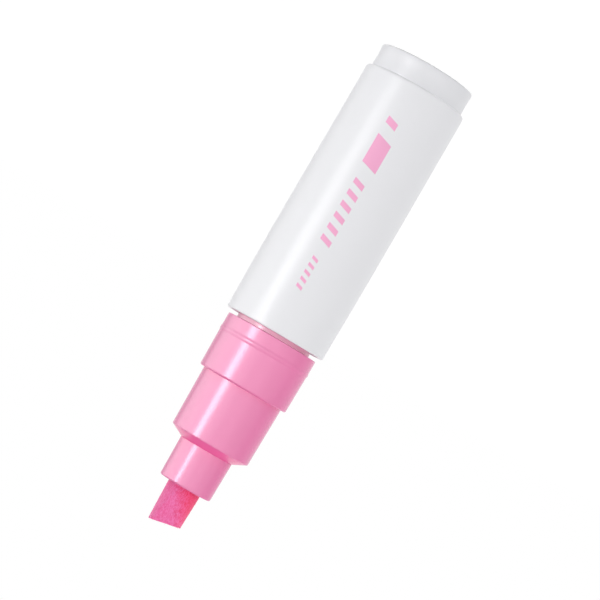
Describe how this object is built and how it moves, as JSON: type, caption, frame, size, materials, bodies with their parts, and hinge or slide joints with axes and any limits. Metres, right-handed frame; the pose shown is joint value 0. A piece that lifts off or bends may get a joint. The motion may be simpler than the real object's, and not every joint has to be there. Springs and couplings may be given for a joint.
{
  "type": "paint marker",
  "caption": "Fat valve-action paint marker, cap off: straight barrel with a posting stub, stepped front, slanted broad felt nib that presses in to open a sprung valve.",
  "frame": {"origin": "middle of the flat face of the tail, on which the marker stands", "axes": "+Z along the barrel from the tail to the nib; +X towards the nib's longer corner; the nib's ground flats face +Y and -Y"},
  "size_m": [0.0252, 0.0252, 0.1193],
  "materials": {
    "white_plastic": "white polypropylene, satin gloss",
    "pink_plastic": "pink polypropylene, glossy",
    "nib_felt": "pink-soaked acrylic felt, matt and fibrous",
    "natural_plastic": "natural polypropylene",
    "seal_rubber": "soft sealing elastomer",
    "spring_steel": "drawn stainless wire",
    "ball_steel": "polished stainless steel"
  },
  "bodies": {
    "shell": {"barrel": "white_plastic", "front_section": "pink_plastic", "nib_holder": "pink_plastic", "valve_housing": "natural_plastic", "valve_seat": "seal_rubber", "spring_retainer": "natural_plastic", "valve_spring": "spring_steel"},
    "writing_nib": {"nib": "nib_felt"},
    "valve_slider": {"valve_stem": "natural_plastic"},
    "loose_ball_1": {"mixing_ball_1": "ball_steel"},
    "loose_ball_2": {"mixing_ball_2": "ball_steel"}
  },
  "joints": [
    {"name": "nib_press", "type": "slide", "parent": "shell", "child": "writing_nib", "axis": [0, 0, 1], "range_m": [-0.0025, 0], "stiffness_N_per_m": 500, "springref_m": 0.002},
    {"name": "valve_slide", "type": "slide", "parent": "shell", "child": "valve_slider", "axis": [0, 0, 1], "range_m": [-0.0025, 0], "deforming": ["valve_spring"]},
    {"name": "ball_1_rattle", "type": "slide", "parent": "shell", "child": "loose_ball_1", "axis": [0, 0, 1], "range_m": [0, 0.048]},
    {"name": "ball_2_rattle", "type": "slide", "parent": "shell", "child": "loose_ball_2", "axis": [0, 0, 1], "range_m": [0, 0.048]}
  ],
  "couplings": [
    {"joint": "valve_slide", "follows": "nib_press", "ratio": 1}
  ]
}
